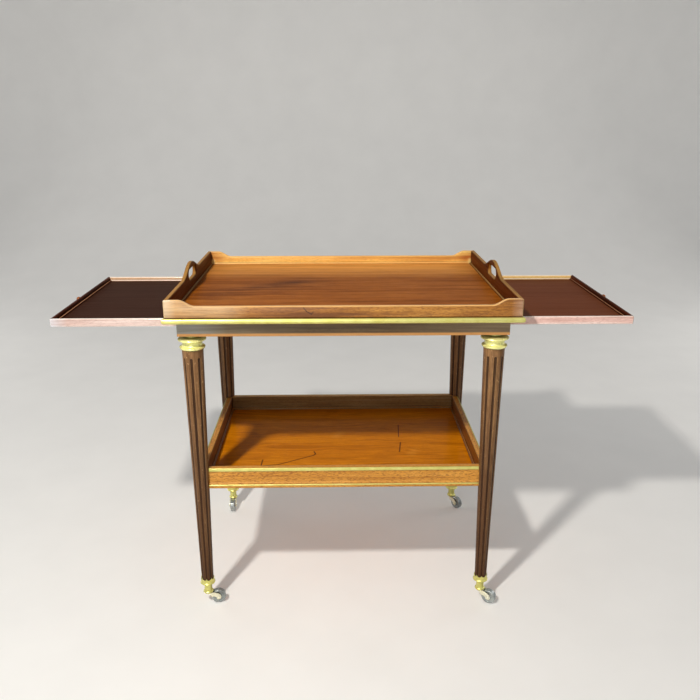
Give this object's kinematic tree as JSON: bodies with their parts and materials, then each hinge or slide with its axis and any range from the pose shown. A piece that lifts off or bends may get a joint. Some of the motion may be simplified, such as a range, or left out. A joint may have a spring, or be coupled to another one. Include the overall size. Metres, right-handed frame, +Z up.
{
  "type": "bar cart",
  "caption": "Mahogany serving cart with a lift-off gallery tray, brass-edged top, pull-out end leaves, fluted tapered legs in brass shoes, a railed lower shelf and swivel casters",
  "frame": {"origin": "on the floor, midway between the four legs", "axes": "+X along the cart to its right end seen from the front, +Y to the back, +Z up; the leaves are pulled out at rest, as pictured"},
  "size_m": [1.2046, 0.5508, 0.7355],
  "materials": {
    "case_wood": "semi-gloss orange-brown mahogany with lengthwise grain",
    "leg_wood": "satin dark red-brown mahogany",
    "shelf_wood": "glossy amber mahogany with fine scratches",
    "leaf_edge_wood": "glossy red mahogany",
    "leaf_panel": "smooth dark red-brown polish",
    "brass": "bright polished brass",
    "wheel": "worn grey hard wheel"
  },
  "bodies": {
    "cart": {"leg_front_left": "leg_wood", "capital_front_left": "brass", "sabot_front_left": "brass", "leg_front_right": "leg_wood", "capital_front_right": "brass", "sabot_front_right": "brass", "leg_back_right": "leg_wood", "capital_back_right": "brass", "sabot_back_right": "brass", "leg_back_left": "leg_wood", "capital_back_left": "brass", "sabot_back_left": "brass", "apron_front": "case_wood", "apron_right": "case_wood", "apron_back": "case_wood", "apron_left": "case_wood", "centre_rail": "case_wood", "top_board": "case_wood", "top_moulding_front": "brass", "top_moulding_right": "brass", "top_moulding_back": "brass", "top_moulding_left": "brass", "shelf_wall_front": "shelf_wood", "shelf_wall_right": "shelf_wood", "shelf_wall_back": "shelf_wood", "shelf_wall_left": "shelf_wood", "shelf_floor": "shelf_wood", "shelf_edge_front": "brass", "shelf_edge_right": "brass", "shelf_edge_back": "brass", "shelf_edge_left": "brass"},
    "tray": {"tray_floor": "case_wood", "tray_wall_front": "case_wood", "tray_wall_back": "case_wood", "tray_end_left": "case_wood", "tray_end_right": "case_wood"},
    "left_leaf": {"left_leaf_panel": "leaf_panel", "left_leaf_lip_front": "leaf_edge_wood", "left_leaf_lip_back": "leaf_edge_wood", "left_leaf_lip_end": "leaf_edge_wood", "left_leaf_stop": "leaf_edge_wood", "left_leaf_pull": "brass"},
    "right_leaf": {"right_leaf_panel": "leaf_panel", "right_leaf_lip_front": "leaf_edge_wood", "right_leaf_lip_back": "leaf_edge_wood", "right_leaf_lip_end": "leaf_edge_wood", "right_leaf_stop": "leaf_edge_wood", "right_leaf_pull": "brass"},
    "caster_front_left": {"caster_fork_front_left": "brass", "caster_axle_front_left": "brass"},
    "wheel_front_left": {"caster_wheel_front_left": "wheel"},
    "caster_front_right": {"caster_fork_front_right": "brass", "caster_axle_front_right": "brass"},
    "wheel_front_right": {"caster_wheel_front_right": "wheel"},
    "caster_back_right": {"caster_fork_back_right": "brass", "caster_axle_back_right": "brass"},
    "wheel_back_right": {"caster_wheel_back_right": "wheel"},
    "caster_back_left": {"caster_fork_back_left": "brass", "caster_axle_back_left": "brass"},
    "wheel_back_left": {"caster_wheel_back_left": "wheel"}
  },
  "joints": [
    {"name": "left_leaf_slide", "type": "slide", "parent": "cart", "child": "left_leaf", "axis": [1, 0, 0], "range_m": [0, 0.245]},
    {"name": "right_leaf_slide", "type": "slide", "parent": "cart", "child": "right_leaf", "axis": [-1, 0, 0], "range_m": [0, 0.245]},
    {"name": "tray_lift", "type": "slide", "parent": "cart", "child": "tray", "axis": [0, 0, 1], "range_m": [0, 0.12]},
    {"name": "swivel_front_left", "type": "hinge", "parent": "cart", "child": "caster_front_left", "pos_m": [-0.305, -0.2165, 0.02796], "axis": [0, 0, 1], "continuous": true},
    {"name": "wheel_front_left_spin", "type": "hinge", "parent": "caster_front_left", "child": "wheel_front_left", "pos_m": [-0.28333, -0.21268, 0.016], "axis": [-0.1736, 0.9848, 0], "continuous": true},
    {"name": "swivel_front_right", "type": "hinge", "parent": "cart", "child": "caster_front_right", "pos_m": [0.305, -0.2165, 0.02796], "axis": [0, 0, 1], "continuous": true},
    {"name": "wheel_front_right_spin", "type": "hinge", "parent": "caster_front_right", "child": "wheel_front_right", "pos_m": [0.32405, -0.2275, 0.016], "axis": [0.5, 0.866, 0], "continuous": true},
    {"name": "swivel_back_right", "type": "hinge", "parent": "cart", "child": "caster_back_right", "pos_m": [0.305, 0.2165, 0.02796], "axis": [0, 0, 1], "continuous": true},
    {"name": "wheel_back_right_spin", "type": "hinge", "parent": "caster_back_right", "child": "wheel_back_right", "pos_m": [0.31762, 0.19848, 0.016], "axis": [0.8192, 0.5736, 0], "continuous": true},
    {"name": "swivel_back_left", "type": "hinge", "parent": "cart", "child": "caster_back_left", "pos_m": [-0.305, 0.2165, 0.02796], "axis": [0, 0, 1], "continuous": true},
    {"name": "wheel_back_left_spin", "type": "hinge", "parent": "caster_back_left", "child": "wheel_back_left", "pos_m": [-0.30423, 0.19451, 0.016], "axis": [0.9994, 0.0349, 0], "continuous": true}
  ]
}
